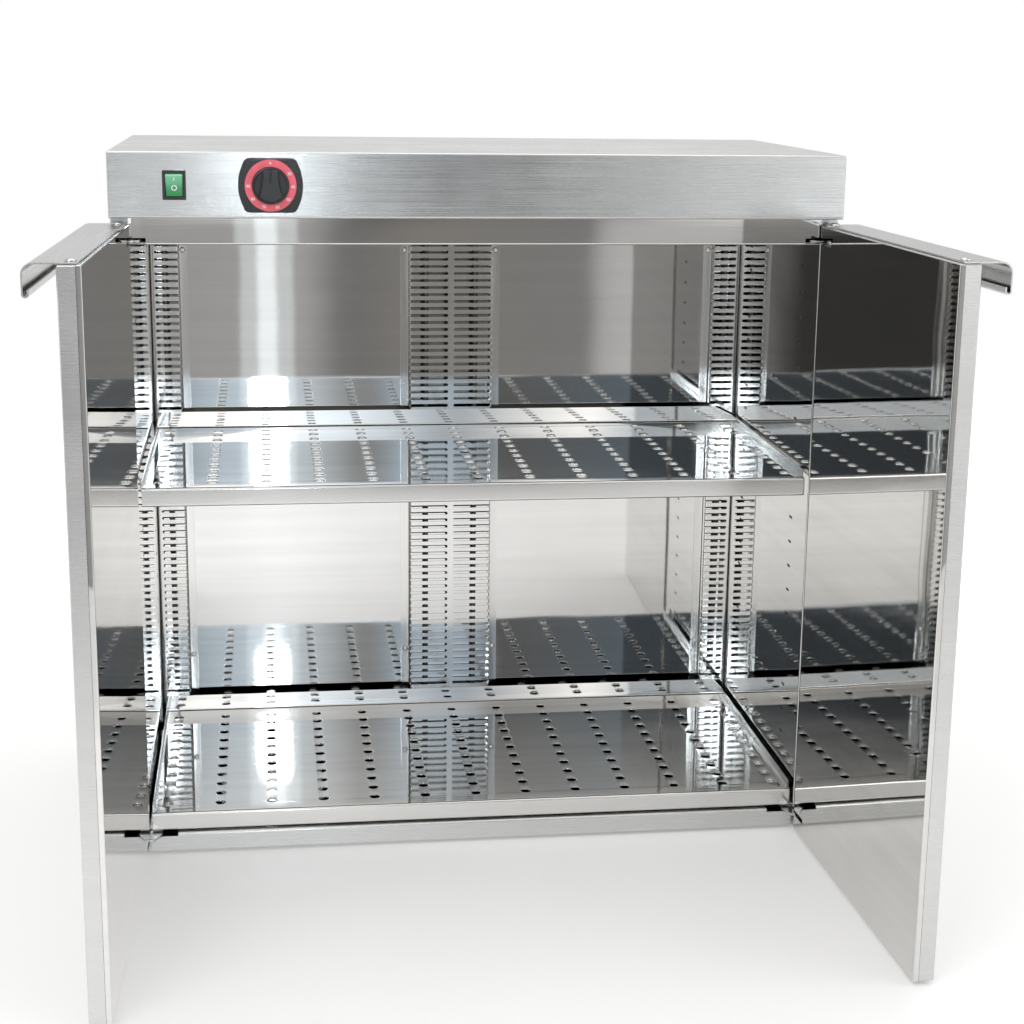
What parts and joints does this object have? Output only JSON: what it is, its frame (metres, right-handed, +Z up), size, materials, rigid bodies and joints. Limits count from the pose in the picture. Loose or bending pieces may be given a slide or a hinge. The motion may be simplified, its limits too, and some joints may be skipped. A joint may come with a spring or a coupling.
{
  "type": "food warmer cabinet",
  "caption": "Countertop food warmer: folded steel cabinet with swing doors, perforated shelves, slotted heater covers and a control head with rocker switch and thermostat.",
  "frame": {"origin": "the middle of the cabinet body's footprint, on the surface that the feet stand on", "axes": "+Z up, -Y out of the doorway, +X to the right as seen from the front"},
  "size_m": [0.89, 0.8036, 0.8],
  "materials": {
    "casing": "fine brushed stainless sheet",
    "brushed": "brushed stainless sheet",
    "polished": "polished stainless sheet",
    "bracket": "plain stainless",
    "heater": "dark heating element sheath",
    "copper": "bare copper",
    "wool": "mineral wool slab",
    "black_plastic": "satin black plastic",
    "bearing_plastic": "white acetal",
    "foot_plastic": "black rubber",
    "green_plastic": "translucent green rocker",
    "red_scale": "red printed ring",
    "cream_plastic": "moulded cream insulator"
  },
  "bodies": {
    "cabinet": {"back_and_ceiling_liner": "polished", "back_panel": "casing", "base_floor": "polished", "base_pan": "casing", "cable_gland": "black_plastic", "column_cover_left": "polished", "column_cover_middle": "polished", "column_cover_right": "polished", "dial_plate": "black_plastic", "dial_scale": "red_scale", "foot_front_left": "foot_plastic", "foot_front_right": "foot_plastic", "foot_rear_left": "foot_plastic", "foot_rear_right": "foot_plastic", "head_cover": "brushed", "head_tray": "brushed", "header_strip": "polished", "heater_left": "heater", "heater_middle": "heater", "heater_right": "heater", "hinge_plate_lower_left": "bracket", "hinge_plate_lower_right": "bracket", "hinge_plate_upper_left": "bracket", "hinge_plate_upper_right": "bracket", "insulation_left": "wool", "insulation_right": "wool", "insulation_top": "wool", "shelf_clip_front_left": "bracket", "shelf_clip_front_right": "bracket", "shelf_clip_rear_left": "bracket", "shelf_clip_rear_right": "bracket", "shelf_runner_left": "bracket", "shelf_runner_right": "bracket", "side_casing_left": "casing", "side_casing_right": "casing", "side_liner_left": "polished", "side_liner_right": "polished", "switch_housing": "black_plastic", "terminal_block": "cream_plastic", "thermostat_body": "cream_plastic", "thermostat_sensor": "copper"},
    "door_left": {"door_outer_left": "brushed", "door_inner_left": "polished", "door_handle_left": "brushed", "door_bearing_lower_left": "bearing_plastic", "door_bearing_upper_left": "bearing_plastic", "handle_screw_hinge_left": "bracket", "handle_screw_free_left": "bracket"},
    "door_right": {"door_outer_right": "brushed", "door_inner_right": "polished", "door_handle_right": "brushed", "door_bearing_lower_right": "bearing_plastic", "door_bearing_upper_right": "bearing_plastic", "handle_screw_hinge_right": "bracket", "handle_screw_free_right": "bracket"},
    "knob": {"dial_knob": "black_plastic", "dial_shaft": "bracket"},
    "rocker": {"switch_rocker": "green_plastic"},
    "shelf_middle": {"middle_shelf": "polished"},
    "shelf_lower": {"lower_shelf": "polished"}
  },
  "joints": [
    {"name": "door_left_hinge", "type": "hinge", "parent": "cabinet", "child": "door_left", "pos_m": [-0.3905, -0.2065, 0], "axis": [0, 0, -1], "range_deg": [-92, 18]},
    {"name": "door_right_hinge", "type": "hinge", "parent": "cabinet", "child": "door_right", "pos_m": [0.3905, -0.2065, 0], "axis": [0, 0, 1], "range_deg": [-92, 18]},
    {"name": "knob_turn", "type": "hinge", "parent": "cabinet", "child": "knob", "pos_m": [-0.2297, -0.225, 0.765], "axis": [0, 1, 0], "range_deg": [0, 270]},
    {"name": "rocker_tilt", "type": "hinge", "parent": "cabinet", "child": "rocker", "pos_m": [-0.3305, -0.211, 0.765], "axis": [-1, 0, 0], "range_deg": [0, 22]},
    {"name": "middle_shelf_slide", "type": "slide", "parent": "cabinet", "child": "shelf_middle", "axis": [0, -1, 0], "range_m": [0, 0.3]},
    {"name": "lower_shelf_slide", "type": "slide", "parent": "cabinet", "child": "shelf_lower", "axis": [0, -1, 0], "range_m": [0, 0.3]}
  ]
}
